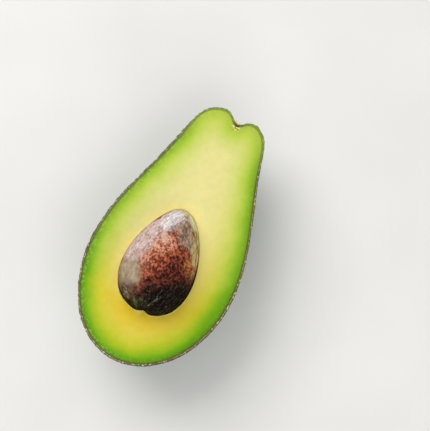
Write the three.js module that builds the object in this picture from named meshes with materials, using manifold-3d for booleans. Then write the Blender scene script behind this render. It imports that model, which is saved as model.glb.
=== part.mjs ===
// Half of a ripe avocado, cut lengthwise, lying on its rounded back with the seed still in it.
// Four pieces come apart on a bench: the peel, the flesh, the seed and the stub of the stem.
// Millimetres, +Z up, +Y towards the stem. The origin is under the middle of the half, on the
// surface that it rests on.

import * as THREE from "three";
import { mergeVertices } from "three/addons/utils/BufferGeometryUtils.js";
import Module from "manifold-3d";

const wasm = await Module();
wasm.setup();

// Driving sizes of the fruit. Lengths along the fruit run from its blossom end, at Y = 0 here.
const FRUIT_LENGTH = 115.6; // blossom end to the crown of the stem end
const BELLY_RADIUS = 31.7; // half-width at the widest station
const BELLY_STATION = 42.2; // distance of the widest station from the blossom end
const NECK_RADIUS = 16.4; // half-width that the neck tapers to
const END_BLUNTNESS = 17; // exponent that squares off the stem end: higher is blunter
const BELLY_LEAN = 0.4; // sideways bow of the belly towards +X
const CROWN_SLOPE = 0.025; // the crown stands higher on the -X side by this share of its offset
const CROWN_LENGTH = 33; // stretch of the neck over which that slope fades in

// The dimple in the crown that the stem grew from.
const DIMPLE_DEPTH = 4.8;
const DIMPLE_RADIUS = 4.1; // across, along X
const DIMPLE_SPREAD = 9; // under the cut face, along Z, where the dimple runs out into a trough
const DIMPLE_OFFSET = 1.4; // towards +X

// The layers, from outside in.
const PEEL_THICKNESS = 1.1;
const PEEL_GAP = 0.3; // between the peel and the flesh
const REST_PRESS = 1.6; // how far the underside is pressed flat where the half rests

// The seed is an egg whose axis lies in the cut face and whose narrow tip points at the stem.
const SEED_LENGTH = 46.4;
const SEED_RADIUS = 14.9;
const SEED_TAPER = 0.24; // share by which the tip is slimmer and the base is fuller
const SEED_STATION = 44.2; // distance of the seed's middle from the blossom end
const SEED_OFFSET = -0.55; // of the seed's middle from the fruit's axis
const SEED_LEAN = 0.028; // sideways run of the seed's axis towards -X, for each unit along it
const SEED_GAP = 0.4; // between the seed and its hollow in the flesh
const SEED_CLEFT_DEPTH = 0.8; // shallow groove across the base of the seed
const SEED_CLEFT_WIDTH = 1.8;
const SEED_CLEFT_REACH = 7; // how far up the seed's sides the groove fades out
const SEED_CLEFT_OFFSET = 2.1; // towards +X from the seed's axis

// The stub of the stem, a thin woody button that the knife has halved, lying in the dimple.
const STUB_RADIUS = 1.5;
const STUB_THICKNESS = 0.8;
const STUB_SHIFT = -0.4; // from the bottom of the dimple up its -X wall
const STUB_GAP = 0.3; // between the button and the peel under it
const STUB_EDGE_ROUNDING = 0.45; // share of its thickness lost where its rim is worn round

// Fineness of the facets.
const STATIONS = 44; // along the fruit
const STATION_CROWDING = 1.3; // above 1, stations crowd towards the stem's dimple
const TURNS = 18; // round the half
const SEED_STATIONS = 26;
const SEED_TURNS = 26;
const STUB_RINGS = 4;
const STUB_TURNS = 10;

const smoothstep = (t) => {
  const s = Math.min(Math.max(t, 0), 1);
  return s * s * (3 - 2 * s);
};

// The girth of the fruit at a distance along it. From the blossom end to the belly it is half an
// ellipse. From the belly to the crown it falls along half a cosine wave to the neck's radius,
// and closes at the crown with the square root of 1 - t^END_BLUNTNESS.
function girth(along) {
  if (along <= BELLY_STATION) {
    const share = (BELLY_STATION - along) / BELLY_STATION;
    return BELLY_RADIUS * Math.sqrt(Math.max(0, 1 - share * share));
  }
  const t = Math.min(1, (along - BELLY_STATION) / (FRUIT_LENGTH - BELLY_STATION));
  const taper = ((BELLY_RADIUS - NECK_RADIUS) * (1 - Math.cos(Math.PI * t))) / 2;
  return (BELLY_RADIUS - taper) * Math.sqrt(Math.max(0, 1 - t ** END_BLUNTNESS));
}

// A point of the half outline at a share v of the way from the crown to the blossom end.
function outline(v) {
  const along = (FRUIT_LENGTH * (1 + Math.cos(Math.PI * v))) / 2;
  return new THREE.Vector2(girth(along), along);
}

// The same point moved inwards, square to the outline, by the depth of a layer.
function layerOutline(v, depth) {
  const step = 1e-4;
  const point = outline(v);
  const before = outline(Math.max(0, v - step));
  const after = outline(Math.min(1, v + step));
  const inward = new THREE.Vector2(after.y - before.y, before.x - after.x).normalize();
  if (v <= 0) inward.set(0, -1);
  if (v >= 1) inward.set(0, 1);
  point.addScaledVector(inward, depth);
  return new THREE.Vector2(Math.max(0, point.x), point.y);
}

// How far the dimple lowers the crown at a place across the stem end.
function dimple(x, z) {
  const away = ((x - DIMPLE_OFFSET) / DIMPLE_RADIUS) ** 2 + (z / DIMPLE_SPREAD) ** 2;
  return DIMPLE_DEPTH * Math.exp(-away);
}

// A point of a layer of the fruit: v runs from the crown to the blossom end, turn from the +X
// edge of the cut face, under the back, to the -X edge. The cut face is the plane Z = 0.
function layerPoint(v, turn, depth) {
  const flat = layerOutline(v, depth);
  const bow = BELLY_LEAN * Math.sin((Math.PI * flat.y) / FRUIT_LENGTH);
  const x = flat.x * Math.cos(turn);
  const z = -flat.x * Math.sin(turn);
  const crown = smoothstep(1 - (FRUIT_LENGTH - flat.y) / CROWN_LENGTH);
  const y = flat.y - crown * (CROWN_SLOPE * x + dimple(x, z));
  const floor = -(BELLY_RADIUS - REST_PRESS - depth);
  return new THREE.Vector3(x + bow, y, turn <= 0 || turn >= Math.PI ? 0 : Math.max(z, floor));
}

const station = (i) => (i / STATIONS) ** STATION_CROWDING;

// The grid of points of one layer, from the crown's pole to the blossom end's pole.
function layerGrid(depth) {
  const rows = [];
  for (let i = 0; i <= STATIONS; i += 1) {
    const row = [];
    for (let j = 0; j <= TURNS; j += 1) row.push(layerPoint(station(i), (Math.PI * j) / TURNS, depth));
    rows.push(row);
  }
  return rows;
}

// Collects triangles, and gives back a closed geometry that shares its vertices.
class Facets {
  constructor() {
    this.corners = [];
  }

  triangle(a, b, c) {
    for (const p of [a, b, c]) this.corners.push(p.x, p.y, p.z);
  }

  quad(a, b, c, d) {
    this.triangle(a, b, c);
    this.triangle(a, c, d);
  }

  // Skins a grid of points; inside turns its faces the other way, on the same diagonals, so that
  // a layer keeps its distance from the next.
  grid(rows, inside) {
    for (let i = 0; i + 1 < rows.length; i += 1) {
      for (let j = 0; j + 1 < rows[i].length; j += 1) {
        const [a, b, c, d] = [rows[i][j], rows[i + 1][j], rows[i + 1][j + 1], rows[i][j + 1]];
        if (inside) this.quad(a, d, c, b);
        else this.quad(a, b, c, d);
      }
    }
  }

  geometry() {
    const raw = new THREE.BufferGeometry();
    raw.setAttribute("position", new THREE.Float32BufferAttribute(this.corners, 3));
    const merged = mergeVertices(raw, 1e-3);
    const kept = [];
    const index = merged.index.array;
    for (let i = 0; i < index.length; i += 3) {
      const [a, b, c] = [index[i], index[i + 1], index[i + 2]];
      if (a !== b && b !== c && c !== a) kept.push(a, b, c);
    }
    merged.setIndex(kept);
    return merged;
  }
}

function solid(geometry) {
  const bare = geometry.clone();
  bare.deleteAttribute("normal");
  bare.deleteAttribute("uv");
  const merged = mergeVertices(bare, 1e-3);
  return new wasm.Manifold(
    new wasm.Mesh({
      numProp: 3,
      vertProperties: new Float32Array(merged.attributes.position.array),
      triVerts: new Uint32Array(merged.index.array),
    }),
  );
}

function geometryOf(manifold) {
  const mesh = manifold.getMesh();
  const geometry = new THREE.BufferGeometry();
  geometry.setAttribute("position", new THREE.BufferAttribute(mesh.vertProperties, 3));
  geometry.setIndex(new THREE.BufferAttribute(mesh.triVerts, 1));
  return geometry;
}

// The peel: a bowl as thin as the skin, whose rim lies in the cut face.
function peelGeometry() {
  const facets = new Facets();
  const outer = layerGrid(0);
  const inner = layerGrid(PEEL_THICKNESS);
  facets.grid(outer, false);
  facets.grid(inner, true);
  for (let i = 0; i < STATIONS; i += 1) {
    facets.quad(inner[i][0], inner[i + 1][0], outer[i + 1][0], outer[i][0]);
    facets.quad(outer[i][TURNS], outer[i + 1][TURNS], inner[i + 1][TURNS], inner[i][TURNS]);
  }
  return facets.geometry();
}

// The flesh: the half fruit inside the peel, closed by the cut face, less the seed's hollow.
function fleshGeometry(seedHollow) {
  const facets = new Facets();
  const outer = layerGrid(PEEL_THICKNESS + PEEL_GAP);
  facets.grid(outer, false);
  const right = outer.map((row) => row[0]);
  const left = outer.map((row) => row[TURNS]).slice(1, -1).reverse();
  const rim = [...right, ...left];
  const contour = rim.map((p) => new THREE.Vector2(p.x, p.y));
  for (const [a, b, c] of THREE.ShapeUtils.triangulateShape(contour, [])) {
    const up = (contour[b].x - contour[a].x) * (contour[c].y - contour[a].y)
      - (contour[b].y - contour[a].y) * (contour[c].x - contour[a].x);
    facets.triangle(rim[a], up > 0 ? rim[b] : rim[c], up > 0 ? rim[c] : rim[b]);
  }
  return geometryOf(solid(facets.geometry()).subtract(solid(seedHollow)));
}

// The seed, or with a margin the hollow that it lies in: an egg along Y whose radius is that of an
// ellipse times 1 - taper * cos(angle from the tip), with a shallow groove across its base.
function seedGeometry(margin) {
  const facets = new Facets();
  const rows = [];
  for (let i = 0; i <= SEED_STATIONS; i += 1) {
    const angle = (Math.PI * i) / SEED_STATIONS;
    const radius = (SEED_RADIUS + margin) * Math.sin(angle) * (1 - SEED_TAPER * Math.cos(angle));
    const along = (SEED_LENGTH / 2 + margin) * Math.cos(angle);
    const row = [];
    for (let j = 0; j <= SEED_TURNS; j += 1) {
      const turn = (2 * Math.PI * j) / SEED_TURNS;
      const x = radius * Math.cos(turn);
      const base = 1 - smoothstep((along + SEED_LENGTH / 2) / SEED_CLEFT_REACH);
      const aside = (x - SEED_CLEFT_OFFSET) / SEED_CLEFT_WIDTH;
      const groove = margin > 0 ? 0 : base * Math.exp(-(aside ** 2));
      row.push(
        new THREE.Vector3(
          SEED_OFFSET + x - SEED_LEAN * along,
          SEED_STATION + along + SEED_CLEFT_DEPTH * groove,
          j % SEED_TURNS === 0 ? 0 : -radius * Math.sin(turn),
        ),
      );
    }
    rows.push(row);
  }
  facets.grid(rows, false);
  return facets.geometry();
}

// The stub of the stem: a halved button whose underside follows the dimple at a small gap. Its
// thickness stands square to the dimple's slope, and thins towards its worn rim.
function stubGeometry() {
  const facets = new Facets();
  const bottom = [];
  const top = [];
  for (let i = 0; i <= STUB_RINGS; i += 1) {
    const share = i / STUB_RINGS;
    bottom.push([]);
    top.push([]);
    for (let j = 0; j <= STUB_TURNS; j += 1) {
      const turn = (Math.PI * j) / STUB_TURNS;
      const x = DIMPLE_OFFSET + STUB_SHIFT + STUB_RADIUS * share * Math.cos(turn);
      const z = j % STUB_TURNS === 0 ? 0 : -STUB_RADIUS * share * Math.sin(turn);
      const surface = FRUIT_LENGTH - CROWN_SLOPE * x - dimple(x, z);
      const across = (x - DIMPLE_OFFSET) / DIMPLE_RADIUS ** 2;
      const steepness = 2 * dimple(x, z) * Math.hypot(across, z / DIMPLE_SPREAD ** 2);
      const stretch = Math.hypot(1, steepness);
      const worn = STUB_THICKNESS * (1 - STUB_EDGE_ROUNDING * share ** 2);
      bottom[i].push(new THREE.Vector3(x, surface + STUB_GAP * stretch, z));
      top[i].push(new THREE.Vector3(x, surface + (STUB_GAP + worn) * stretch, z));
    }
  }
  facets.grid(top, false);
  facets.grid(bottom, true);
  for (let j = 0; j < STUB_TURNS; j += 1) {
    const [upper, lower] = [top[STUB_RINGS], bottom[STUB_RINGS]];
    facets.quad(upper[j], lower[j], lower[j + 1], upper[j + 1]);
  }
  for (let i = 0; i < STUB_RINGS; i += 1) {
    const [a, b] = [0, STUB_TURNS];
    facets.quad(top[i][a], bottom[i][a], bottom[i + 1][a], top[i + 1][a]);
    facets.quad(top[i + 1][b], bottom[i + 1][b], bottom[i][b], top[i][b]);
  }
  return facets.geometry();
}

function piece(name, geometry, color, roughness) {
  const material = new THREE.MeshStandardMaterial({ color, roughness, metalness: 0 });
  const mesh = new THREE.Mesh(geometry, material);
  mesh.name = name;
  return mesh;
}

const fruit = new THREE.Group();
fruit.add(
  piece("peel", peelGeometry(), 0x2f4f22, 0.55),
  piece("flesh", fleshGeometry(seedGeometry(SEED_GAP)), 0xd9d67e, 0.5),
  piece("seed", seedGeometry(0), 0x7a4630, 0.5),
  piece("stem_stub", stubGeometry(), 0x8a6f45, 0.85),
);

// Stands the half on its pressed underside, with the middle of its box over the origin.
const box = new THREE.Box3().setFromObject(fruit);
fruit.position.set(-(box.min.x + box.max.x) / 2, -(box.min.y + box.max.y) / 2, -box.min.z);

const avocadoHalf = new THREE.Group();
avocadoHalf.add(fruit);

export default avocadoHalf;
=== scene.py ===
# %% [markdown]
# # A halved avocado with its seed
# This lesson gives an avocado half its looks. The half lies on its rounded back, cut face up,
# with the seed standing half out of it. Four pieces are made: the rough peel, the soft flesh,
# the mottled seed and the woody stub of the stem. Each is one closed surface worked out with
# numpy, because grown shapes follow smooth rules that a formula tells better than dragging
# vertices does. The first cell loads the packed model, which fixes size and place.

# %% Load the frame
import itertools
import math

import bpy
import numpy as np
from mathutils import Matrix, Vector


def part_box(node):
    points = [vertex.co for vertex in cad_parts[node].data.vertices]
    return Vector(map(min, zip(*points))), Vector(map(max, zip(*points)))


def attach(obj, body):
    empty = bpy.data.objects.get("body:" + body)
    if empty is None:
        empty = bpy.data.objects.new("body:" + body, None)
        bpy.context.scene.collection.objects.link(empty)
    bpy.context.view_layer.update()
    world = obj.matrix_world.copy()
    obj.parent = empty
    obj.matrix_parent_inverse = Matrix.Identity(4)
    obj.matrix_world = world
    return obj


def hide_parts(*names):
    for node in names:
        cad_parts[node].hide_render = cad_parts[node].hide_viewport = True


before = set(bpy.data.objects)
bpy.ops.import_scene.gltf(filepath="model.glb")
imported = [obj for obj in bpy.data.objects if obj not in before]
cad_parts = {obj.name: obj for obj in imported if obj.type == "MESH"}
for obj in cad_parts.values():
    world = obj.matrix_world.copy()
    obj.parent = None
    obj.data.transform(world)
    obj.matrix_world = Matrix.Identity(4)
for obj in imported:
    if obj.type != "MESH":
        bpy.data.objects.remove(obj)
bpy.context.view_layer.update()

# %% [markdown]
# ## The sizes
# An avocado is measured along its length, from the blossom end to the crown that the stem grew
# from. All sizes are in millimetres and are the packed model's own, so the fine surfaces lie
# where the plain solids lie. The crown slopes a little, and has a dimple that is wider in depth
# than across.

# %% The fruit's sizes in millimetres
FRUIT_LENGTH = 115.6
BELLY_RADIUS = 31.7
BELLY_STATION = 42.2
NECK_RADIUS = 16.4
END_BLUNTNESS = 17
BELLY_LEAN = 0.4
CROWN_SLOPE = 0.025
CROWN_LENGTH = 33
DIMPLE_DEPTH = 4.8
DIMPLE_RADIUS = 4.1
DIMPLE_SPREAD = 9
DIMPLE_OFFSET = 1.4
PEEL_THICKNESS = 1.1
REST_PRESS = 1.6
print("fruit about", FRUIT_LENGTH, "mm long and", 2 * BELLY_RADIUS, "mm across")

# %% [markdown]
# ## The seed's sizes
# The seed has an axis of its own, which lies in the cut face. Its middle is a station along the
# fruit and an offset aside, its lean says how far the axis turns off the fruit's, and its taper
# makes it narrower towards the stem.

# %% The seed's sizes in millimetres
SEED_LENGTH = 46.4
SEED_RADIUS = 14.9
SEED_TAPER = 0.24
SEED_STATION = 44.2
SEED_OFFSET = -0.55
SEED_LEAN = 0.028
print("seed", SEED_LENGTH, "mm long and about", 2 * SEED_RADIUS, "mm across")

# %% [markdown]
# ## Where the solids are
# The formulas below have their own nought. Three measures of the packed solids tie them to the
# frame: where the blossom end is, how high the cut face is, and how far the peel reaches aside.

# %% Measures of the solids
MM = 0.001
blossom_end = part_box("peel")[0].y / MM
cut_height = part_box("flesh")[1].z / MM
peel_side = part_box("peel")[1].x / MM
print("blossom end at", round(blossom_end, 2), "cut face at", round(cut_height, 2))

# %% [markdown]
# ## A soft step
# Grown things pass from one state to another without corners. One curve does that all through
# this lesson: it is nought up to one point, full from another on, and bends softly between.

# %% Soft step


def smoothstep(t):
    """0 below 0, 1 above 1, and 3t^2 - 2t^3 between."""
    s = np.clip(t, 0, 1)
    return s * s * (3 - 2 * s)


print("a quarter of the way, the soft step has risen to", round(float(smoothstep(0.25)), 3))

# %% [markdown]
# ## The outline
# One side of the fruit's outline is a rule for its girth: a quarter of an ellipse from the
# blossom end to the belly, then half a cosine wave that falls to the neck, closed at the crown
# by a blunt curve. The rows of a grid run along it from the crown to the blossom end.

# %% Outline


def girth(along):
    """Belly radius times the root of 1 - share^2 below the belly. Above it, the cosine fall to
    the neck's radius times the root of 1 - t^bluntness."""
    share = (BELLY_STATION - along) / BELLY_STATION
    lower = BELLY_RADIUS * np.sqrt(np.clip(1 - share**2, 0, None))
    t = np.clip((along - BELLY_STATION) / (FRUIT_LENGTH - BELLY_STATION), 0, 1)
    taper = (BELLY_RADIUS - NECK_RADIUS) * (1 - np.cos(np.pi * t)) / 2
    upper = (BELLY_RADIUS - taper) * np.sqrt(np.clip(1 - t**END_BLUNTNESS, 0, None))
    return np.where(along <= BELLY_STATION, lower, upper)


def outline(v):
    """Girth and distance along at a share v of the way from the crown to the blossom end; the
    distance follows a cosine, which spaces the rows evenly over both round ends."""
    along = FRUIT_LENGTH * (1 + np.cos(np.pi * v)) / 2
    return girth(along), along


print("radius at the belly", round(float(girth(BELLY_STATION)), 2), "mm")

# %% [markdown]
# ## Layers of the fruit
# Every layer, peel or flesh, is the outline moved inwards and turned half way round under the
# cut face. Four small changes make it grown: the axis bows aside, the crown slopes, a dimple
# marks where the stem was, and the back is pressed flat where the half rests.

# %% Layers


def dimple(x, z):
    """A bell curve: depth times e^-(distance / radius)^2, with a longer radius under the cut."""
    away = ((x - DIMPLE_OFFSET) / DIMPLE_RADIUS) ** 2 + (z / DIMPLE_SPREAD) ** 2
    return DIMPLE_DEPTH * np.exp(-away)


def layer(v, turn, depth):
    """A layer of the fruit in its own frame, cut face at z = 0: the outline moved inwards by
    depth, square to itself, turned by turn under the back, bowed towards +X, its crown sloped
    and dimpled, and its underside held above the flat spot."""
    step = 1e-4
    before = outline(np.clip(v - step, 0, 1))
    after = outline(np.clip(v + step, 0, 1))
    radius, along = outline(v)
    run = np.hypot(after[0] - before[0], after[1] - before[1])
    radius = np.maximum(radius + depth * (after[1] - before[1]) / run, 0)
    along = along - depth * (after[0] - before[0]) / run
    x = radius * np.cos(turn)
    z = -radius * np.sin(turn)
    crown = smoothstep(1 - (FRUIT_LENGTH - along) / CROWN_LENGTH)
    y = along - crown * (CROWN_SLOPE * x + dimple(x, z))
    bow = BELLY_LEAN * np.sin(np.pi * along / FRUIT_LENGTH)
    floor = -(BELLY_RADIUS - REST_PRESS - depth)
    return np.stack([x + bow + 0 * turn, y + 0 * turn, np.maximum(z, floor)], axis=-1)


lowest_line = layer(np.linspace(0, 1, 400), np.pi / 2, 0.0)
print("the back is", round(float(-lowest_line[:, 2].min()), 2), "mm under the cut face")

# %% [markdown]
# ## Which way a surface faces
# Relief is raised square to the surface it stands on. That direction is found by two small
# steps on the surface, one down the rows and one round the columns, whose cross product is
# square to both. At a pole both steps shrink to nothing, and the axis takes over.

# %% Normals


def normals(surface, v, turn, *more):
    """Unit normals of surface(v, turn): the cross product of its slopes, found by small steps."""
    step = 2e-4
    lower = surface(np.clip(v + step, 0, 1), turn, *more)
    upper = surface(np.clip(v - step, 0, 1), turn, *more)
    down = lower - upper
    round_ = surface(v, turn + step, *more) - surface(v, turn - step, *more)
    normal = np.cross(down, round_)
    length = np.linalg.norm(normal, axis=-1, keepdims=True)
    pole = np.where(v < 0.5, 1.0, -1.0)[..., None] * np.array([0.0, 1.0, 0.0])
    return np.where(length > 1e-9, normal / np.maximum(length, 1e-9), pole)


under_belly = normals(layer, np.array([0.6]), np.array([np.pi / 2]), 0.0)
print("under the belly the peel faces", under_belly[0].round(2))

# %% [markdown]
# ## Into the frame
# The formulas put the cut face at height nought and the blossom end at nought along. One shift
# takes every piece to where the packed solids are. How far to go aside comes from comparing
# the side of the solid peel with the widest point of the outline.

# %% Grids and the shift into the frame


def across_grid(rows, columns, turns=np.pi):
    """Parameters of a grid: v down the rows from 0 to 1, turn across the columns."""
    down_rows = np.linspace(0, 1, rows + 1)
    over_columns = np.linspace(0, turns, columns + 1)
    return np.meshgrid(down_rows, over_columns, indexing="ij")


rim = layer(np.linspace(0, 1, 400), 0.0 * np.linspace(0, 1, 400), 0.0)
axis_shift = peel_side - rim[:, 0].max()
to_frame = np.array([axis_shift, blossom_end, cut_height])
print("the outline reaches", round(float(rim[:, 0].max()), 2), "mm aside")
print("so the axis is shifted by", round(float(axis_shift), 3), "mm")

# %% [markdown]
# ## Noise from whole-number cells
# Skin, flesh and seed coat are all irregular in ways that never repeat. Noise gives that, and
# it starts from a hash: a sum that turns a cube's three whole numbers into a number that looks
# random but is the same on every run, so nothing has to be seeded. Soft noise blends the
# numbers at a cube's corners, and rough noise adds smaller and smaller copies of it.

# %% Soft and rough noise
CELL_SHIFT = 5000.0  # lattice cells of every place on the object then have positive numbers


def hashed(cells, salt):
    """Numbers from 0 to 1: three large primes times the indices, mixed by shifts and xor."""
    x, y, z = (cells[..., k].astype(np.uint64) for k in range(3))
    mixed = x * np.uint64(73856093) ^ y * np.uint64(19349663) ^ z * np.uint64(83492791 + 2 * salt)
    mixed = (mixed ^ (mixed >> np.uint64(15))) * np.uint64(2246822519 + 2 * salt)
    mixed = (mixed ^ (mixed >> np.uint64(13))) * np.uint64(3266489917)
    return ((mixed >> np.uint64(16)) & np.uint64(0xFFFF)).astype(float) / 0xFFFF


def soft_noise(points, size, salt):
    """From -1 to 1: hashed values at the corners of cubes of that size, blended by smoothstep."""
    p = points / size + CELL_SHIFT
    cell = np.floor(p).astype(np.int64)
    share = smoothstep(p - cell)
    total = np.zeros(points.shape[:-1])
    for corner in itertools.product((0, 1), repeat=3):
        weight = np.prod(np.where(np.array(corner), share, 1 - share), axis=-1)
        total += weight * hashed(cell + np.array(corner), salt)
    return 2 * total - 1


def rough_noise(points, size, salt, octaves=3):
    """From about -1 to 1: soft noise plus copies of it, each half as large and half as high."""
    layers = [soft_noise(points, size / 2**k, salt + 7 * k) / 2**k for k in range(octaves)]
    return sum(layers) / 1.3


sample_line = np.linspace([0.0, 0.0, 0.0], [40.0, 25.0, 10.0], 400)
sample = soft_noise(sample_line, 5.0, 1)
print("soft noise runs from", round(float(sample.min()), 2), "to", round(float(sample.max()), 2))

# %% [markdown]
# ## Scattered centres
# Pits in a skin lie apart from one another, neither in rows nor quite at random. One centre is
# thrown into each cube of a lattice, and the distance to the nearest one is nought in the
# middle of a pit and grows away from it.

# %% Cellular noise


def nearest_centre(points, size, salt):
    """Distance from each point to the nearest cell centre, in cell sizes: one centre is thrown
    into each cube, and the 27 cubes around a point are searched."""
    p = points / size + CELL_SHIFT
    cell = np.floor(p).astype(np.int64)
    nearest = np.full(points.shape[:-1], np.inf)
    for step in itertools.product((-1, 0, 1), repeat=3):
        other = cell + np.array(step)
        centre = other + np.stack([hashed(other, salt + k) for k in range(3)], axis=-1)
        nearest = np.minimum(nearest, np.linalg.norm(p - centre, axis=-1))
    return nearest


farthest = nearest_centre(sample_line, 2.0, 3).max()
print("no point of the sample is over", round(float(farthest), 2), "cells from a centre")

# %% [markdown]
# ## From grids to a piece
# A piece is made of a few grids whose edges meet: the outside, the inside and the cut rim of
# the peel, say. The grids are welded where their points coincide, so that seams and poles
# close, and what comes out is one closed surface.

# %% Weld grids into a piece
WELD_STEPS_PER_MM = 1e4


def quads_of(grid, flip):
    """Corner indices of the cells of a grid of points, turned the other way by flip."""
    rows, columns = grid.shape[:2]
    index = np.arange(rows * columns).reshape(rows, columns)
    corners = [index[:-1, :-1], index[1:, :-1], index[1:, 1:], index[:-1, 1:]]
    if flip:
        corners = corners[::-1]
    return np.stack(corners, axis=-1).reshape(-1, 4)


def welded(grids):
    """Joins (points, values, flip, material) grids. Points closer than a tenth of a micron are one,
    and a quad with two corners there becomes a triangle."""
    points = np.concatenate([g[0].reshape(-1, 3) for g in grids])
    values = np.concatenate([g[1].reshape(-1, g[1].shape[-1]) for g in grids])
    starts = np.cumsum([0] + [g[0].shape[0] * g[0].shape[1] for g in grids])
    quads = np.concatenate([quads_of(g[0], g[2]) + s for g, s in zip(grids, starts)])
    material = np.concatenate([np.full(len(quads_of(g[0], g[2])), g[3]) for g in grids])
    key = np.round(points * WELD_STEPS_PER_MM).astype(np.int64)
    _, first, same = np.unique(key, axis=0, return_index=True, return_inverse=True)
    quads = same.reshape(-1)[quads]
    a, b, c, d = quads.T
    whole = (a != b) & (b != c) & (c != d) & (d != a) & (a != c) & (b != d)
    third = np.where(b == c, d, c)
    second_corner = np.where(a == b, c, b)
    third = np.where(a == b, d, third)
    triangles = np.stack([a, second_corner, third], axis=-1)
    # A quad that has shrunk to a line has no third corner of its own and is dropped.
    sound = ~whole & (triangles[:, 0] != triangles[:, 1]) & (triangles[:, 1] != triangles[:, 2])
    sound &= triangles[:, 2] != triangles[:, 0]
    surface = (points[first], values[first], quads[whole], triangles[sound])
    return (*surface, material[whole], material[sound])


print("a grid of 4 by 3 points has", len(quads_of(np.zeros((4, 3, 3)), False)), "quads")

# %% [markdown]
# ## From a surface to a part
# Every piece rides on the model's one body and takes the place of its plain solid, which is
# hidden. Values that the finish needs, such as the height of the relief, are stored at the
# vertices. Shading is smooth except over edges as sharp as the rim of the cut.

# %% Make a piece
SHARP_EDGE = math.radians(60)


def piece(name, grids, channels, materials, node):
    """Makes the mesh in metres, stores one value per channel at each vertex, and lets it ride."""
    points, values, quads, triangles, quad_material, triangle_material = welded(grids)
    mesh = bpy.data.meshes.new(name)
    places = (points + to_frame) * MM
    mesh.from_pydata(places, [], quads.tolist() + triangles.tolist())
    mesh.polygons.foreach_set("material_index", np.concatenate([quad_material, triangle_material]))
    mesh.polygons.foreach_set("use_smooth", np.ones(len(mesh.polygons), bool))
    for k, channel in enumerate(channels):
        attribute = mesh.attributes.new(channel, "FLOAT", "POINT")
        attribute.data.foreach_set("value", values[:, k].astype(np.float32))
    for material in materials:
        mesh.materials.append(material)
    mesh.set_sharp_from_angle(angle=SHARP_EDGE)
    mesh.validate()
    mesh.update()
    made = bpy.data.objects.new(name, mesh)
    bpy.context.scene.collection.objects.link(made)
    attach(made, "root")
    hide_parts(node)
    print(name, "has", 2 * len(quads) + len(triangles), "triangles")


print("edges sharper than", round(math.degrees(SHARP_EDGE)), "degrees stay sharp")

# %% [markdown]
# ## A small shader language
# A material is a graph of nodes. Laying each one by hand hides the sum it stands for, so one
# small class wraps a socket and lets `1 - mask` or `a * b` add the Math nodes.

# %% Wires


class Wire:
    """The output of a node. Sums of wires and numbers lay Math nodes."""

    def __init__(self, finish, socket):
        self.finish = finish
        self.socket = socket

    def sum(self, operation, first, second):
        """Lays one Math node."""
        return self.finish.node("ShaderNodeMath", {"operation": operation}, {0: first, 1: second})

    def __add__(self, other):
        return self.sum("ADD", self, other)

    def __radd__(self, other):
        return self.sum("ADD", other, self)

    def __sub__(self, other):
        return self.sum("SUBTRACT", self, other)

    def __rsub__(self, other):
        return self.sum("SUBTRACT", other, self)

    def __mul__(self, other):
        return self.sum("MULTIPLY", self, other)

    def __rmul__(self, other):
        return self.sum("MULTIPLY", other, self)

    def __truediv__(self, other):
        return self.sum("DIVIDE", self, other)


print("a wire knows", sum(name.startswith("__r") for name in vars(Wire)), "reflected sums")

# %% [markdown]
# ## Tones
# Eyes judge tones on a screen, where 128 looks like half of white, but shaders count light, of
# which a screen's half is only about a fifth. One function turns the one into the other.

# %% Tones


def tone(red, green, blue):
    """A colour as seen on a screen, 0 to 255, as the linear light that shaders work in."""
    light = []
    for share in (red / 255, green / 255, blue / 255):
        dim = share <= 0.04045
        light.append(share / 12.92 if dim else ((share + 0.055) / 1.055) ** 2.4)
    return (*light, 1.0)


print("half of white on a screen is", round(tone(128, 128, 128)[0], 3), "of its light")

# %% [markdown]
# ## The graph of a material
# A material starts from the Principled shader with its plain numbers set, and measures places
# in millimetres, so that a noise can be as large as the grain it stands for. One method adds
# any node: its settings first, such as the stops of a ramp, then its values or wires.

# %% Graph


class Graph:
    """One material's node tree, and the way in which a node is added to it."""

    def __init__(self, name, **sockets):
        self.material = bpy.data.materials.new(name)
        self.material.use_nodes = True
        self.tree = self.material.node_tree
        self.shader = self.tree.nodes["Principled BSDF"]
        for socket, value in sockets.items():
            self.shader.inputs[socket.replace("_", " ")].default_value = value
        place = self.node("ShaderNodeTexCoord", output="Object")
        self.place = self.node(
            "ShaderNodeVectorMath", {"operation": "SCALE"}, {0: place, "Scale": 1 / MM}
        )

    def node(self, kind, settings=None, sockets=None, output=0):
        """Adds a node: settings first, with stops for a ramp, then values or wires."""
        node = self.tree.nodes.new(kind)
        for key, value in (settings or {}).items():
            if key == "stops":
                ramp = node.color_ramp.elements
                for position, colour in value[1:-1]:
                    ramp.new(position)
                for element, (position, colour) in zip(ramp, value):
                    element.position = position
                    element.color = colour
            else:
                setattr(node, key, value)
        for key, value in (sockets or {}).items():
            if isinstance(value, Wire):
                self.tree.links.new(value.socket, node.inputs[key])
            else:
                node.inputs[key].default_value = value
        return Wire(self, node.outputs[output])

    def wire(self, socket, value):
        """Feeds one input of the shader."""
        self.tree.links.new(value.socket, self.shader.inputs[socket])

    def report(self):
        """Prints how large the finish has grown."""
        print(self.material.name, "has", len(self.tree.nodes), "nodes")


print("a graph has the methods", [name for name in vars(Graph) if name[0] != "_"])

# %% [markdown]
# ## Finishes
# The finishes of a fruit are mixed from few things: values stored in the mesh, noise, soft
# steps, spots, ramps and fine relief. Each is a node or two, so each becomes a method.

# %% Finish


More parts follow.
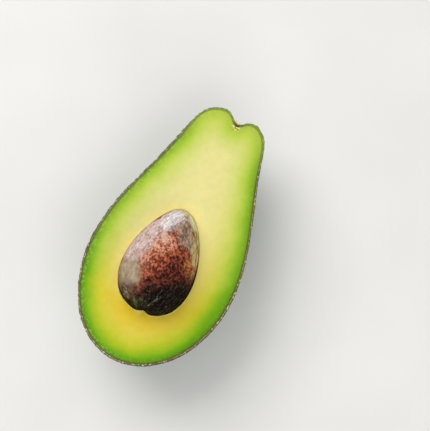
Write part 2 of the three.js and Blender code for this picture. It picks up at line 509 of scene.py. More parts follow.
class Finish(Graph):
    """A graph with the few ways in which this object's finishes are made."""

    def channel(self, name):
        """A value stored at the vertices."""
        return self.node("ShaderNodeAttribute", {"attribute_name": name}, output="Fac")

    def axis(self, letter):
        """One coordinate of the frame in millimetres."""
        return self.node("ShaderNodeSeparateXYZ", sockets={0: self.place}, output=letter)

    def noise(self, size, detail, stretch=(1, 1, 1)):
        """Noise from 0 to 1 with blotches about size mm across, longer where stretch is over 1."""
        scale = tuple(1 / (size * s) for s in stretch)
        at = self.node("ShaderNodeMapping", {}, {"Vector": self.place, "Scale": scale})
        sockets = {"Vector": at, "Scale": 1.0, "Detail": detail}
        return self.node("ShaderNodeTexNoise", {}, sockets, "Fac")

    def smooth(self, value, low, high):
        """0 where value is at low, 1 at high, with a soft start and end; low may be the higher."""
        settings = {"interpolation_type": "SMOOTHSTEP"}
        sockets = {"Value": value, "From Min": low, "From Max": high}
        return self.node("ShaderNodeMapRange", settings, sockets)

    def spot(self, centre, reach):
        """1 within a quarter of reach of a place of the frame in mm, and 0 beyond reach."""
        sockets = {0: self.place, 1: centre}
        settings = {"operation": "DISTANCE"}
        away = self.node("ShaderNodeVectorMath", settings, sockets, "Value")
        return self.smooth(away, reach, 0.25 * reach)

    def ramp(self, value, stops):
        """Colours at stated values from 0 to 1, blended evenly between."""
        return self.node("ShaderNodeValToRGB", {"stops": stops}, {0: value}, "Color")

    def mix(self, share, first, second):
        """First where share is 0 and second where it is 1."""
        settings = {"data_type": "RGBA"}
        return self.node("ShaderNodeMix", settings, {0: share, 6: first, 7: second}, 2)

    def bump(self, height, depth):
        """Turns height from 0 to 1 into a relief depth mm deep."""
        sockets = {"Height": height, "Strength": 1.0, "Distance": depth * MM}
        self.wire("Normal", self.node("ShaderNodeBump", {}, sockets))


print("a finish is mixed from", len([name for name in vars(Finish) if name[0] != "_"]), "methods")

# %% [markdown]
# ## The skin
# The peel of this avocado is leathery and rough: a raised network, light green on top, with
# small dark pits about a millimetre and a half apart. The relief is real in the mesh, and its
# height is stored at the vertices. The tone follows it exactly with painted shade and light,
# from nearly black in the pits to light green on the ridges. Broad blotches shift it, some of
# them ripen to brown, and a few high places are corky. The gloss is a clear coat, as the wax on
# the skin is.

# %% Skin finish
skin = Finish("pebbled_skin", Roughness=0.4, Coat_Weight=0.45, Coat_Roughness=0.25)
height = skin.channel("height")
blotch = skin.noise(15, 2)
grain = skin.noise(0.7, 4)
# painted shade and light: the relief height darkens the pits to near black and lightens the ridges;
# grain and blotches are real tone
pit_shade_and_tone = height + 0.3 * (grain - 0.5) + 0.6 * (blotch - 0.5)
green = skin.ramp(
    pit_shade_and_tone,
    [
        (0.0, tone(4, 12, 5)),
        (0.3, tone(12, 34, 12)),
        (0.55, tone(28, 66, 26)),
        (0.8, tone(54, 100, 46)),
        (1.0, tone(98, 144, 80)),
    ],
)
ripening = skin.smooth(skin.noise(14, 3), 0.56, 0.7) * 0.4
green = skin.mix(ripening, green, tone(40, 34, 24))
corky = skin.smooth(skin.noise(1.7, 2), 0.62, 0.7) * skin.smooth(height, 0.4, 0.75)
green = skin.mix(corky * 0.75, green, tone(146, 126, 84))
skin.wire("Base Color", green)
skin.wire("Roughness", 0.34 + 0.24 * grain)
skin.bump(skin.noise(0.35, 3), 0.06)
skin.report()

# %% [markdown]
# ## The cut edge of the skin
# Where the knife went through, the peel shows its thickness: a dark olive line against the
# flesh, then pale gritty tissue, then the thin dark outside. A second finish on the same mesh
# follows a value that runs from 0 at the flesh to 1 at the outside. Rust and dark dots break it
# up, pale specks are painted on as glints of light, and on the upper left there is less rust and
# more green.

# %% Cut skin finish
cut_skin = Finish("cut_skin", Roughness=0.5, Specular_IOR_Level=0.3)
gritty = cut_skin.noise(0.5, 4)
bites = cut_skin.noise(1.3, 2)
across = cut_skin.channel("across") + 0.34 * (gritty - 0.5) + 0.5 * (bites - 0.5)
edge_colour = cut_skin.ramp(
    across,
    [
        (0.0, tone(98, 142, 14)),
        (0.2, tone(72, 92, 10)),
        (0.36, tone(66, 74, 16)),
        (0.5, tone(118, 116, 56)),
        (0.7, tone(156, 150, 96)),
        (0.82, tone(84, 72, 36)),
        (0.94, tone(26, 26, 14)),
    ],
)
upper_left = cut_skin.smooth(cut_skin.axis("Y") - cut_skin.axis("X"), 4, 26)
rust = cut_skin.smooth(cut_skin.noise(2.1, 2), 0.53, 0.62) * cut_skin.smooth(across, 0.4, 0.6)
edge_colour = cut_skin.mix(rust * (0.7 - 0.6 * upper_left), edge_colour, tone(112, 62, 22))
fresh = upper_left * cut_skin.smooth(across, 0.9, 0.6) * 0.5
edge_colour = cut_skin.mix(fresh, edge_colour, tone(98, 116, 38))
# painted highlight: pale cream specks that stand for glints of light on the gritty tissue
painted_glint = cut_skin.smooth(cut_skin.noise(1.0, 1), 0.56, 0.66) * cut_skin.smooth(across, 0.35, 0.6)
edge_colour = cut_skin.mix(painted_glint * 0.8, edge_colour, tone(214, 208, 164))
# dark dots scattered in the cut tissue
dark_dots = cut_skin.smooth(cut_skin.noise(1.4, 2), 0.46, 0.36) * cut_skin.smooth(across, 0.3, 0.5)
edge_colour = cut_skin.mix(dark_dots * 0.6, edge_colour, tone(58, 50, 22))
cut_skin.report()

# %% [markdown]
# ## The cut edge near the stem
# Towards the crown the cut tissue is greener, and round the stub of the stem it is stained dark
# brown. One is a soft step along the fruit and the other a spot. The grit is low relief too.

# %% Cut skin near the stem
STEM_STAIN = (1.2, 52.4, 30.1)
at_crown = cut_skin.smooth(cut_skin.axis("Y"), 38, 48) * cut_skin.smooth(across, 1.0, 0.7) * 0.7
edge_colour = cut_skin.mix(at_crown, edge_colour, tone(124, 148, 46))
by_stub = cut_skin.spot(STEM_STAIN, 4.0) * cut_skin.smooth(gritty, 0.36, 0.5) * 0.9
edge_colour = cut_skin.mix(by_stub, edge_colour, tone(62, 42, 10))
cut_skin.wire("Base Color", edge_colour)
cut_skin.bump(gritty, 0.1)
cut_skin.report()

# %% [markdown]
# ## The peel's relief
# A pit is a soft step of the distance to its centre, so that it has a round floor and a level
# rim. The points are bent by soft noise first, because a skin that stretches as it grows pulls
# its pits out of line, and ridges of rough noise run over the network between them.

# %% Pitted relief
PIT_PITCH = 1.35
PIT_DEPTH = 0.6
PIT_STRETCH = np.array([1.0, 0.7, 1.0])


def pitted(points):
    """Height from 0 to 1.1: a level network with a pit at each cell centre, which is the
    smoothstep of the distance to the nearest centre, bent by a soft noise, with ridges from a
    rough noise and a lower level where a broad noise is low."""
    bent = points + 0.9 * np.stack([soft_noise(points, 3.2, 11 + k) for k in range(3)], axis=-1)
    nearest = nearest_centre(bent * PIT_STRETCH, PIT_PITCH, 3)
    network = smoothstep((nearest - 0.2) / 0.42)
    ridges = 0.5 + 0.5 * rough_noise(points * PIT_STRETCH, 1.5, 15)
    swell = 0.5 + 0.5 * soft_noise(points, 8.0, 21)
    return np.clip((0.6 * network + 0.6 * ridges) * (0.75 + 0.35 * swell), 0, 1.1)


print("pits lie about", PIT_PITCH, "mm apart and are up to", PIT_DEPTH, "mm deep")

# %% [markdown]
# ## The outside and the inside of the peel
# The outside is the outermost layer, moved along its normals by the relief and by low lumps.
# Relief ends where the peel was cut and where it is pressed flat. The inside is smooth and
# hidden, so a coarse grid with the same rows is enough.

# %% Outside and inside of the peel
PEEL_ROWS = 316
PEEL_TURNS = 284
HIDDEN_TURNS = 8
MEAN_RELIEF = 0.6
v, turn = across_grid(PEEL_ROWS, PEEL_TURNS)
outside = layer(v, turn, 0.0)
facing = normals(layer, v, turn, 0.0)
facing[:, [0, -1], 2] = 0
relief = pitted(outside)
lumps = soft_noise(outside, 16.0, 5)[..., None]
outside = outside + facing * (PIT_DEPTH * (relief[..., None] - MEAN_RELIEF) + 0.25 * lumps)
outside[..., 2] = np.maximum(outside[..., 2], -(BELLY_RADIUS - REST_PRESS))
outside[:, [0, -1], 2] = 0

coarse_v, coarse_turn = across_grid(PEEL_ROWS, HIDDEN_TURNS)
inside = layer(coarse_v, coarse_turn, PEEL_THICKNESS)
inside[:, [0, -1], 2] = 0
print("the relief of the peel is", round(float(relief.mean()), 2), "high on average")

# %% [markdown]
# ## The cut rim of the peel
# The knife leaves a narrow band between the inside and the outside, a little rough and sunk by
# a hair between its edges. Each side of the fruit has one, and each point on it knows how far
# across the peel it is.

# %% Rim strips


def rim_strip(outer_edge, inner_edge, steps=6):
    """Straight lines across the cut from the flesh side to the outside. Their height is rough
    noise less a hair, times the root of a sine that is nought at both edges."""
    share = np.linspace(0, 1, steps + 1)[None, :, None]
    strip = inner_edge[:, None] * (1 - share) + outer_edge[:, None] * share
    held = np.sin(np.pi * share[..., 0]) ** 0.5
    strip[..., 2] += held * (0.12 * rough_noise(strip, 1.2, 31) - 0.05)
    return strip, share[..., 0] + 0 * strip[..., 2]


right_strip, right_share = rim_strip(outside[:, 0], inside[:, 0])
left_strip, left_share = rim_strip(outside[:, -1], inside[:, -1])
thickness = np.linalg.norm(outside[:, 0] - inside[:, 0], axis=-1)
print("the cut peel is", round(float(np.median(thickness)), 2), "mm thick")

# %% [markdown]
# ## The peel
# The four grids share their edges, so welding closes them into one shell. The rim wears the cut
# finish and the rest wears the skin.

# %% The peel


def peel_values(shape, heights, shares):
    """The two channels of the peel: height of the relief and share across the cut."""
    return np.stack([heights + np.zeros(shape), shares + np.zeros(shape)], axis=-1)


piece(
    "peel_skin",
    [
        (outside, peel_values(relief.shape, relief, 1.0), False, 0),
        (inside, peel_values(inside.shape[:2], 0.2, 0.0), True, 0),
        (right_strip, peel_values(right_share.shape, 0.5, right_share), True, 1),
        (left_strip, peel_values(left_share.shape, 0.5, left_share), False, 1),
    ],
    ["height", "across"],
    [skin.material, cut_skin.material],
    "peel",
)

# %% [markdown]
# ## The seed's shape
# The seed is an egg lying along the fruit, narrow towards the stem, with a flattened base and a
# shallow cleft across it. Its radius is an ellipse's times one minus a taper. The hollow in the
# flesh is the same egg with a margin, so both come from one function.

# %% Egg
CLEFT_DEPTH = 1.4
CLEFT_WIDTH = 2.0
CLEFT_REACH = 6.0
CLEFT_OFFSET = 1.5
BASE_PRESS = 0.6


def egg(v, turn, margin):
    """Ellipse radius times 1 - taper * cos(angle from the tip), turned about an axis that lies
    in the cut face and leans a little; margin widens it all round. The whole base is pressed in
    a little, and the cleft moves it further in by a bell curve of x; both fade out up the
    sides by a soft step."""
    angle = np.pi * v
    radius = (SEED_RADIUS + margin) * np.sin(angle) * (1 - SEED_TAPER * np.cos(angle))
    along = (SEED_LENGTH / 2 + margin) * np.cos(angle)
    x = radius * np.cos(turn)
    base = 1 - smoothstep((along + SEED_LENGTH / 2) / CLEFT_REACH)
    groove = base * np.exp(-(((x - CLEFT_OFFSET) / CLEFT_WIDTH) ** 2))
    y = SEED_STATION + along + CLEFT_DEPTH * groove + BASE_PRESS * base
    return np.stack([SEED_OFFSET + x - SEED_LEAN * along, y, -radius * np.sin(turn)], axis=-1)


tip = egg(np.array(0.0), 0.0, 0.0)
base_middle = egg(np.array(1.0), 0.0, 0.0)
print("the seed reaches from", base_middle[1].round(1), "to", tip[1].round(1), "mm along")

# %% [markdown]
# ## How deep in the flesh
# The flesh is bright green against the peel and turns pale yellow inwards. That change follows
# the distance from the peel, so the mesh stores, at each vertex of the cut face, how far it is
# from the flesh's edge and from the seed's hollow. Broad noise lets the bands wander, fine noise
# streaks them, and both fade out right at the edge. Light sinks a little way in, which a weak
# subsurface share gives.

# %% Flesh finish: depth
flesh = Finish(
    "ripe_flesh",
    Roughness=0.4,
    Subsurface_Weight=0.12,
    Subsurface_Radius=(1.0, 0.8, 0.3),
    Subsurface_Scale=0.0022,
    Specular_IOR_Level=0.1,
)
RAMP_REACH = 20.0
wander = flesh.noise(9, 2) - 0.5
streaks = flesh.noise(1.6, 3) - 0.5
from_edge = flesh.channel("from_edge")
inward = flesh.smooth(from_edge, 0.3, 3.0)
right_side = flesh.smooth(flesh.axis("X"), 4, 26)
lower_end = 1.5 * flesh.smooth(flesh.axis("Y"), -24, -34)
shift = 3.0 * wander + 1.2 * streaks + lower_end * (1 - 0.6 * right_side)
depth = (from_edge + inward * shift) / RAMP_REACH
flesh.report()

# %% [markdown]
# ## From green to yellow
# Two ramps give the tone at a depth in millimetres, because the two ends of the fruit ripen
# differently: the blossom end keeps a deep green and a golden yellow, the stem's end a light
# green and a pale cream. A soft step along the fruit blends them.

# %% Flesh finish: two ramps
LOWER_STOPS = [
    (0.0, (88, 132, 16)),
    (1.2, (98, 150, 10)),
    (2.5, (108, 163, 12)),
    (4.5, (142, 178, 26)),
    (6.5, (172, 188, 36)),
    (9.0, (198, 196, 52)),
    (13.0, (216, 200, 72)),
    (20.0, (222, 206, 84)),
]
UPPER_STOPS = [
    (0.0, (120, 152, 34)),
    (1.2, (142, 174, 44)),
    (2.5, (162, 194, 56)),
    (4.5, (186, 205, 82)),
    (6.5, (202, 210, 106)),
    (9.0, (210, 213, 124)),
    (13.0, (222, 216, 141)),
    (20.0, (227, 218, 146)),
]


def depth_ramp(stops):
    """A ramp over the depth, whose stops are at depths in mm."""
    return flesh.ramp(depth, [(at / RAMP_REACH, tone(*colour)) for at, colour in stops])


lower = depth_ramp(LOWER_STOPS)
upper = depth_ramp(UPPER_STOPS)
along = flesh.axis("Y") + 14 * wander - 8 * right_side
colour = flesh.mix(flesh.smooth(along, -34, 2) * (1 - 0.5 * right_side), lower, upper)
flesh.report()

# %% [markdown]
# ## Glints painted at the wet edge, and the crown
# Just inside the peel the cut cells are wet, and their glints are painted on as light green
# specks, most on the side towards the window, where the light falls. Towards the crown the
# flesh stays greener than the ramps say.

# %% Flesh finish: painted glints at the wet edge, and crown
# painted highlight: light green glints just inside the peel, stronger on the window's side
painted_glisten = flesh.smooth(flesh.noise(0.9, 2), 0.48, 0.62) * flesh.smooth(from_edge, 2.6, 0.6)
glints_to_window = 0.08 + 0.2 * flesh.smooth(flesh.axis("X"), 6, -10)
colour = flesh.mix(painted_glisten * glints_to_window, colour, tone(190, 226, 104))
crown_tint = flesh.smooth(flesh.axis("Y"), 36, 56) * 0.6
colour = flesh.mix(crown_tint, colour, tone(192, 202, 84))
flesh.report()

# %% [markdown]
# ## Gold round the seed
# Against the seed the flesh is deepest in tone: gold below the seed. Beside it lies a warm yellow
# band of painted light, a highlight that hugs the seed on the window's side. The hollow's lower
# brink has a pale torn lip, whose pale colour is partly painted light along the raised lip, and
# a little flesh fills the cleft of the seed's base.

# %% Flesh finish: round the seed
CLEFT_PLACE = (-0.2, -35.4, 30.1)
from_seed = flesh.channel("from_seed")
near_seed = from_seed + 5 * wander
low = flesh.axis("Y") + 8 * wander - 0.35 * flesh.axis("X")
to_right = flesh.smooth(flesh.axis("X"), 1, 13)
gold = flesh.smooth(near_seed, 11, 1.5) * flesh.smooth(low, -22, -36)
colour = flesh.mix(gold * (0.85 - 0.35 * to_right), colour, tone(222, 186, 34))
# painted highlight: a warm yellow band hugging the seed, weaker towards the right, away from the
# window
warm_highlight = flesh.smooth(near_seed, 6, 0.5) * flesh.smooth(along, -36, -14)
colour = flesh.mix(warm_highlight * (0.55 - 0.35 * to_right), colour, tone(250, 230, 140))
ragged = flesh.smooth(flesh.noise(1.8, 2), 0.4, 0.6)
# the lip's pale colour is partly torn flesh and partly a painted highlight along the raised lip
lip = flesh.smooth(from_seed, 0.6, 0.15) * flesh.smooth(flesh.axis("Y"), -20, -28)
colour = flesh.mix(lip * (0.1 + 0.5 * ragged), colour, tone(240, 226, 156))
cleft_fill = flesh.spot(CLEFT_PLACE, 2.3) * 0.6
colour = flesh.mix(cleft_fill, colour, tone(232, 218, 140))
flesh.report()

# %% [markdown]
# ## By the stub, and the grain of the flesh
# Beside the stub of the stem the flesh has pale and brown specks. All of it is mottled a
# little. Its relief is a fine grain and faint marks drawn out along the fruit, and the same
# grain varies the gloss.

# %% Flesh finish: specks and grain
STUB_FOOT = (1.1, 52.6, 30.0)
stub_side = flesh.spot(STUB_FOOT, 3.0)
pale_specks = flesh.smooth(flesh.noise(0.9, 1), 0.5, 0.6) * stub_side
colour = flesh.mix(pale_specks, colour, tone(252, 240, 168))
specks = flesh.smooth(flesh.noise(0.7, 2), 0.52, 0.6) * stub_side
colour = flesh.mix(specks, colour, tone(128, 84, 24))
mottle = 0.93 + 0.14 * flesh.noise(2.6, 4)
scaled = {0: colour, "Scale": mottle}
colour = flesh.node("ShaderNodeVectorMath", {"operation": "SCALE"}, scaled)
flesh.wire("Base Color", colour)
fine = flesh.noise(0.5, 4)
flesh.wire("Roughness", 0.34 + 0.14 * fine)
flesh.bump(0.5 * fine + 0.5 * flesh.noise(0.6, 2, stretch=(1, 9, 1)), 0.03)
flesh.report()

# %% [markdown]
# ## The hollow
# The seed lies in a hollow a hair wider than itself. On one side, towards the base, the flesh
# has shrunk back a little further, which leaves a thin dark line of shadow there.

# %% Hollow
HOLLOW_GAP = 0.06
SHRUNK_GAP = 0.16


def hollow(v, turn):
    """The egg with a margin: narrow on the -X side and at the tip, and wider on the +X side
    towards the base, where the flesh has drawn back from the seed."""
    side = 0.5 + 0.5 * np.cos(turn)
    return egg(v, turn, HOLLOW_GAP + SHRUNK_GAP * side * smoothstep((v - 0.3) / 0.25))


print("the hollow is wider than the seed by", HOLLOW_GAP, "to", HOLLOW_GAP + SHRUNK_GAP, "mm")

# %% [markdown]
# ## The cut face
# The cut face is level, but not dead flat. It swells softly, the knife left faint ripples in
# it, and at the seed it rises to a low collar and a torn lip. Each half of it is made of
# straight lines from the peel to the hollow, with closer steps at both ends.

# %% Cut face of the flesh
ACROSS_STEPS = 96


def distance_to(points, line):
    """Distance in the cut face from each point of a grid to the nearest point of a line, worked
    out one row of the grid at a time to spare memory."""
    rows = []
    for row in points:
        steps = row[:, None, :2] - line[None, :, :2]
        rows.append(np.sqrt((steps**2).sum(-1)).min(1))
    return np.array(rows)


def cut_face(edge, brink, all_edges, all_brinks):
    """Straight lines from the peel to the hollow. Their height is a soft swell and ripples, held
    down at both ends, plus a lip, a bell curve of the distance from the seed, below it, and a
    collar that falls off by e^-distance above it."""
    u = np.linspace(0, 1, ACROSS_STEPS + 1)
    share = (0.7 * u + 0.3 * (1 - np.cos(np.pi * u)) / 2)[None, :, None]
    face = edge[:, None] * (1 - share) + brink[:, None] * share
    from_edge = distance_to(face, all_edges)
    from_seed = distance_to(face, all_brinks)
    held = smoothstep(from_edge / 0.5) * smoothstep(from_seed / 0.5)
    ripple = soft_noise(face * np.array([0.25, 1.0, 1.0]), 1.6, 41)
    raised = 0.14 * soft_noise(face, 11.0, 43) + 0.02 * ripple
    base = smoothstep((SEED_STATION - 6 - face[..., 1]) / 8)
    torn = 0.09 + 0.09 * soft_noise(face, 2.5, 45)
    lip = base * torn * np.exp(-(((from_seed - 0.35) / 0.3) ** 2))
    collar = 0.35 * (1 - base) * np.exp(-from_seed / 1.2)
    face[..., 2] = held * raised + smoothstep(from_seed / 0.15) * (lip + collar)
    return face, np.stack([from_edge, from_seed], axis=-1)


print("each half of the cut face has", ACROSS_STEPS, "steps across")

# %% [markdown]
# ## The flesh
# The back lies a hair inside the peel, and the bowl holds the seed. Both are hidden, so each
# stores one pair of distances for all its points. With the two halves of the cut face they
# close to one surface.

# %% The flesh
FLESH_GAP = 0.06
FLESH_ROWS = 330
BACK_TURNS = 12
HOLLOW_TURNS = 28
v, turn = across_grid(FLESH_ROWS, BACK_TURNS)
back = layer(v, turn, PEEL_THICKNESS + FLESH_GAP)
v, turn = across_grid(FLESH_ROWS, HOLLOW_TURNS)
bowl = hollow(v, turn)
for grid in (back, bowl):
    grid[:, [0, -1], 2] = 0
all_edges = np.concatenate([back[:, 0], back[:, -1]])
all_brinks = np.concatenate([bowl[:, 0], bowl[:, -1]])
right_face, right_values = cut_face(back[:, 0], bowl[:, 0], all_edges, all_brinks)
left_face, left_values = cut_face(back[:, -1], bowl[:, -1], all_edges, all_brinks)
back_values = np.zeros(back.shape[:2] + (2,)) + np.array([0.0, 20.0])
bowl_values = np.zeros(bowl.shape[:2] + (2,)) + np.array([14.0, 0.0])
piece(
    "flesh_half",
    [
        (back, back_values, False, 0),
        (bowl, bowl_values, True, 0),
        (right_face, right_values, False, 0),
        (left_face, left_values, True, 0),
    ],
    ["from_edge", "from_seed"],
    [flesh.material],
    "flesh",
)

# %% [markdown]
# ## The seed's surface
# The coat of the seed is a thin dry skin. It is papery and fibrous at the tip, flecked in the
# middle and wrinkled at the base. First comes the plain egg, all the way round, with its
# columns packed closer on the side that shows, and the way each point faces.

# %% Grid of the seed
SEED_ROWS = 316
SEED_TURNS = 280
v, turn = across_grid(SEED_ROWS, SEED_TURNS, 2 * np.pi)
turn = turn + 0.5 - 0.5 * np.cos(turn)
body = egg(v, turn, 0.0)
facing = normals(egg, v, turn, 0.0)
from_middle = body - np.array([SEED_OFFSET, SEED_STATION, 0.0])
print("the seed's grid has", body.shape[0], "rows and", body.shape[1], "columns")

# %% [markdown]
# ## Flecks, fibres and wrinkles
# Flecks are rough noise and dots together. Fibres are rough noise too, drawn out along the seed
# and measured round it in shares of its girth, so that they run together at the tip. Wrinkles
# are broader and run across.

# %% Flecks, fibres and wrinkles
DOT_SIZE = 0.75
FIBRE_SIZE = 0.8
FIBRE_LENGTH = 2.3
FIBRE_GIRTH = 14.0


def contrast(noise, gain):
    """Noise from -1 to 1 as a share from 0 to 1, steeper by gain."""
    return smoothstep(0.5 + gain * noise)


def unrolled(places):
    """Places for drawn-out noise: x and z over the distance from the axis, times the girth, and
    y over the length."""
    around = np.hypot(places[..., 0], places[..., 2])[..., None] + 0.5
    shares = places / np.concatenate([around, around * 0 + FIBRE_LENGTH, around], axis=-1)
    return shares * np.array([FIBRE_GIRTH, 1.0, FIBRE_GIRTH])


fibre = contrast(rough_noise(unrolled(from_middle), FIBRE_SIZE, 61), 0.8)
dots = smoothstep((nearest_centre(body * np.array([1.0, 0.8, 1.0]), DOT_SIZE, 51) - 0.1) / 0.55)
fleck = np.clip(0.45 * dots + 0.8 * contrast(rough_noise(body, 0.75, 53), 0.8) - 0.15, 0, 1)
wrinkle = contrast(rough_noise(body * np.array([0.6, 1.0, 1.0]), 2.0, 55), 0.8)
print("flecks are", fleck.mean().round(2), "and fibres", fibre.mean().round(2), "on average")

# %% [markdown]
# ## What a patch is
# Patches tell where each kind of coat lies. Each one runs along a line between two places on
# the seed, told from the seed's middle in millimetres: first aside, then along. It is full
# within reach of that line and fades beyond it, over a border that noise makes ragged.

# %% Patch
SIDE_SPREAD = np.array([1.0, 1.0, 0.45])


def on_seed(x, y):
    """The place on the upper side of the egg above a place given from the seed's middle: the
    height is the root of radius^2 - x^2, with x from the leaning axis."""
    share = 2 * y / SEED_LENGTH
    radius = SEED_RADIUS * math.sqrt(1 - share**2) * (1 - SEED_TAPER * share)
    return np.array([x, y, math.sqrt(max(radius**2 - (x + SEED_LEAN * y) ** 2, 0))])


def patch(start, end, reach, fade, ragged=1.2):
    """1 within reach of the line between two places on the seed, and 0 when fade further off;
    heights count for less than half, which lets a patch run down the side, and rough noise moves
    the border in and out by about ragged."""
    first = on_seed(*start)
    run = on_seed(*end) - first
    share = np.clip(((from_middle - first) @ run) / max(run @ run, 1e-9), 0, 1)
    off = (from_middle - first - share[..., None] * run) * SIDE_SPREAD
    away = np.linalg.norm(off, axis=-1) + ragged * rough_noise(body, 1.8, 91, 4)
    return 1 - smoothstep((away - reach) / fade)


print("the place above the seed's middle is", on_seed(0, 0)[2].round(1), "mm high")

# %% [markdown]
# ## Patches of the tip
# Towards the stem the coat has dried to pale paper: white on the ridge, mauve to the left and
# brown strands to the right, with cream at the very tip and khaki down the right side. The white
# and the mauve also carry a painted sheen, the window's light on the upper left of the seed.

# %% Patches of the tip
# pale papery coat with a painted sheen of the window's light on it
white = patch((-4, 14), (-2, 18), 1.0, 4.8)
# mauve coat with a painted highlight along the left flank, towards the window
mauve = np.maximum(
    patch((-8.5, 8.5), (-11, -3.5), 2.6, 5.0),
    patch((-7, 12), (-3, 20.5), 1.0, 3.5),
)
strand = 0.9 * patch((2, 16.5), (7, 10.5), 1.6, 4.0)
cream = np.maximum(
    patch((3, 21), (6.5, 18), 0.7, 1.8, 0.5),
    0.6 * patch((-0.5, 21.5), (1.5, 21.5), 0.7, 2.2, 0.5),
)
khaki = patch((8, 16), (13, 4.5), 0.9, 2.6, 0.6)
print("shares: white", white.mean().round(3), "mauve", mauve.mean().round(3))

# %% [markdown]
# ## Patches of the middle
# The middle is red-brown and flecked: salmon to the left, maroon to the right, with ochre and
# tan at the right brink; the ochre is an orange-brown painted highlight. A smooth spot lies
# just above it, and a beige patch worn bare of flecks to the left of the base, whose pale tone
# is also a painted highlight.

# %% Patches of the middle
smooth_spot = 0.7 * patch((-3, 8.5), (-1, 6.5), 0.2, 2.2, 0.9)
salmon = np.maximum(
    patch((-4.5, 3), (-1, 5), 1.8, 4.6),
    0.6 * patch((-5, -1), (-4.5, -4), 1.2, 4.2),
)
# beige worn patch, its pale tone also a painted highlight on the lower left
beige = np.maximum(
    patch((-8, -9.5), (-6.5, -13.5), 0.9, 5.2, 1.4),
    patch((-12, -9.5), (-9.5, -14.5), 0.9, 4.2, 1.2),
)
maroon = patch((8.5, -1.5), (5.5, -10.5), 1.8, 5.2)
# painted highlight: an orange-brown patch on the right flank
ochre = 0.7 * patch((11, 2.5), (12, -0.5), 0.2, 2.2, 1.3)
tan = 0.8 * patch((14, 0), (14.5, -3), 0.3, 1.5, 0.6)
print("shares: salmon", salmon.mean().round(3), "beige", beige.mean().round(3))

# %% [markdown]
# ## Small marks
# Small marks keep a grown thing from looking made: a grey haze at the lower left, painted as a
# sheen on the dark base, an olive tint at the cleft, a rusty one in the dark base, a brown spot
# near the tip and a scratch.

# %% Small marks of the seed
# painted sheen: a grey haze over the lower left of the dark base
dusty = patch((-8, -17.5), (-6, -19), 0.6, 2.4, 0.9)
olive = patch((-1.5, -20.5), (1.5, -20.5), 0.7, 2.0, 0.9)
spot = patch((7, 15), (8, 14), 0.25, 0.7, 0.2)
scratch = patch((3, -21), (6.5, -16), 0.1, 0.35, 0.05)
rusty = patch((-4.5, -18.5), (-0.5, -17), 1.2, 2.8)
print("shares: dusty", dusty.mean().round(4), "scratch", scratch.mean().round(4))

# %% [markdown]
# ## The dark base and the brink
# The base is nearly black: a dark coat with painted shade on it, as it faces away from the
# window. Its border is a curve that climbs to the right, first a plum tone and then the dark. At
# the brink of the hollow painted shade makes the coat dark brown on the lower right, at the
# seed's foot, and painted light makes it pale olive round the tip, along the crest, with a soft
# shaded line down the left side.

# %% Dark base and brink
aside = from_middle[..., 0]
border = 15.4 - 0.42 * aside - 0.02 * aside**2 + 2.0 * rough_noise(body, 2.6, 95)
base_line = from_middle[..., 1] + border
# the dark coat of the base, darkened further by painted shade where it faces away from the window
dark = (1 - smoothstep((base_line + 2.6) / 7.6)) * (1 - 0.15 * rusty)
plum = 0.8 * (1 - smoothstep((base_line - 2.0) / 6.5)) * smoothstep((aside + 3.5) / 4)
# painted shade: a dark brown band at the foot of the seed's right side, where its edge turns down
# into shadow
foot = (1 - smoothstep((body[..., 2] - 0.6) / 2.2)) * smoothstep((aside - 6) / 5)
foot = foot * (1 - smoothstep((from_middle[..., 1] - 1) / 6))
# painted light along the brink: pale round the tip where a contact shadow would show, and a soft
# shaded line down the left side
brink_band_start = 8 * smoothstep((aside + 2) / 6)
crest = 1 - smoothstep((body[..., 2] - 1.2) / 3.2)
crest = crest * smoothstep((from_middle[..., 1] - brink_band_start) / 5)
print("share of the seed that is dark", round(float(dark.mean()), 2))

# %% [markdown]
# ## The seed's tones
# Each patch has a tone, from nearly black at the base to red-brown in the middle and papery
# white at the tip; several carry painted light and shade as well as the coat's own colour. A tone
# is a ramp of three, dark, middle and light, over a value that says how the patch is broken up:
# flecked, stringy like fibres, or crumpled, which is both.

# %% Seed finish: three tones
coat = Finish("seed_coat", Roughness=0.42, Specular_IOR_Level=0.06)
tooth = coat.noise(0.3, 3)
flecked = 0.8 * coat.channel("fleck") + 0.4 * (tooth - 0.5) + 0.1
stringy = 0.8 * coat.channel("fibre") + 0.4 * (tooth - 0.5) + 0.1
crumpled = 0.5 * flecked + 0.5 * stringy


def three_tones(value, low, middle, high):
    """A ramp from a dark through a middle to a light tone."""
    return coat.ramp(value, [(0.12, tone(*low)), (0.5, tone(*middle)), (0.9, tone(*high))])


coat.report()

# %% [markdown]
# ## Laying the tones
# Patches, flecks and fibres are stored at the vertices, so that colour and relief agree. The
# finish starts from plain red-brown and lays the tones over one another in turn, each by its
# patch and a weight. Last come short pale strokes painted on the dark base as glints of light;
# the base is also the dullest.

